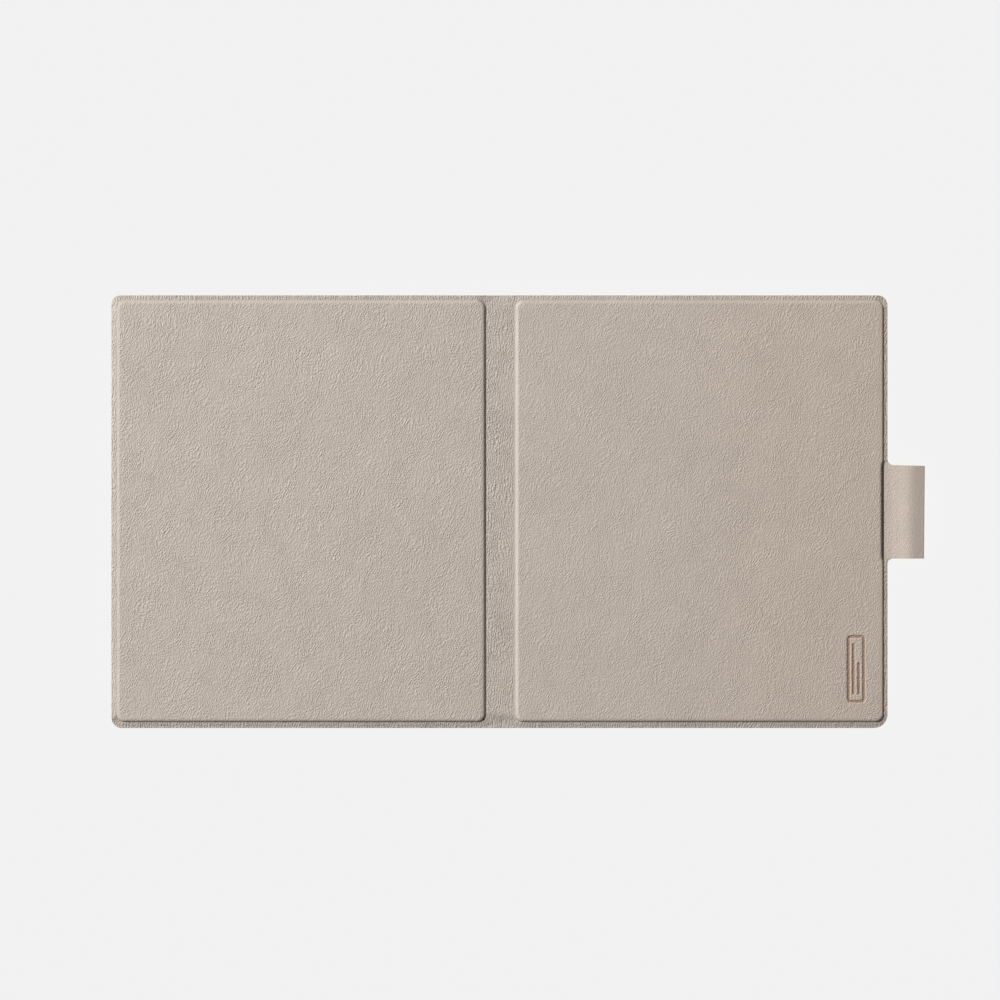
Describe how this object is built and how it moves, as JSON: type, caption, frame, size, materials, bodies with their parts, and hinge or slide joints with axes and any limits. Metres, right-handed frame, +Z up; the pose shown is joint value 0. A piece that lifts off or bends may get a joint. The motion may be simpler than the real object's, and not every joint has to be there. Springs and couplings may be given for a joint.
{
  "type": "e-reader in folio",
  "caption": "Slim e-reader with a side grip and page keys, docked by magnets in a leatherette folio with two stiff boards, a soft spine and a pen loop.",
  "frame": {"origin": "bottom centre of the whole object, lying open with its outer face up and the reader's screen on the support plane", "axes": "+X from the back cover to the front cover, +Y to the top of the page, +Z up"},
  "size_m": [0.301, 0.16, 0.0089],
  "materials": {
    "folio_leatherette": "satin",
    "folio_lining": "matte",
    "stiff_board": "matte",
    "magnet": "satin",
    "housing_plastic": "matte",
    "key_plastic": "satin",
    "lens_glass": "satin",
    "optic_film": "gloss",
    "e_paper": "matte",
    "foam": "matte",
    "light_metal": "satin",
    "steel": "satin",
    "circuit_board": "satin",
    "flex_film": "satin",
    "battery_pouch": "satin"
  },
  "bodies": {
    "reader": {"rear_housing": "housing_plastic", "front_frame": "housing_plastic", "cover_lens": "lens_glass", "touch_film": "optic_film", "light_guide": "optic_film", "led_strip": "flex_film", "e_paper_panel": "e_paper", "display_foam": "foam", "display_ribbon": "flex_film", "mid_frame": "light_metal", "mid_frame_screws": "steel", "battery": "battery_pouch", "battery_lead": "flex_film", "main_board": "circuit_board", "main_board_screws": "steel", "board_shields": "steel", "hall_sensor": "key_plastic", "page_switches": "steel", "power_switch": "steel", "charging_socket": "steel", "antenna": "flex_film", "dock_magnets": "magnet", "closure_magnets": "magnet"},
    "back_cover": {"back_cover_skin": "folio_leatherette", "back_cover_board": "stiff_board", "back_cover_lining": "folio_lining", "back_cover_magnets": "magnet"},
    "spine": {"spine_skin": "folio_leatherette", "spine_stiffener": "stiff_board", "spine_lining": "folio_lining"},
    "front_cover": {"front_cover_skin": "folio_leatherette", "front_cover_board": "stiff_board", "front_cover_lining": "folio_lining", "front_cover_magnets": "magnet", "wake_magnet": "magnet", "pen_loop": "folio_leatherette"},
    "page_key_next": {"page_key_next": "key_plastic"},
    "page_key_previous": {"page_key_previous": "key_plastic"},
    "power_button": {"power_button": "key_plastic"}
  },
  "joints": [
    {"name": "cover_dock", "type": "slide", "parent": "reader", "child": "back_cover", "axis": [0, 0, -1], "range_m": [-0.04, 0]},
    {"name": "back_fold", "type": "hinge", "parent": "back_cover", "child": "spine", "pos_m": [-0.0107, 0, 0.007], "axis": [0, 1, 0], "range_deg": [-90, 90]},
    {"name": "front_fold", "type": "hinge", "parent": "spine", "child": "front_cover", "pos_m": [-0.0029, 0, 0.007], "axis": [0, 1, 0], "range_deg": [-90, 90]},
    {"name": "page_next_press", "type": "slide", "parent": "reader", "child": "page_key_next", "axis": [0, 0, 1], "range_m": [0, 0.0004], "stiffness_N_per_m": 1500, "springref_m": -0.0004},
    {"name": "page_previous_press", "type": "slide", "parent": "reader", "child": "page_key_previous", "axis": [0, 0, 1], "range_m": [0, 0.0004], "stiffness_N_per_m": 1500, "springref_m": -0.0004},
    {"name": "power_press", "type": "slide", "parent": "reader", "child": "power_button", "axis": [0, -1, 0], "range_m": [0, 0.0003], "stiffness_N_per_m": 2000, "springref_m": -0.0004}
  ]
}
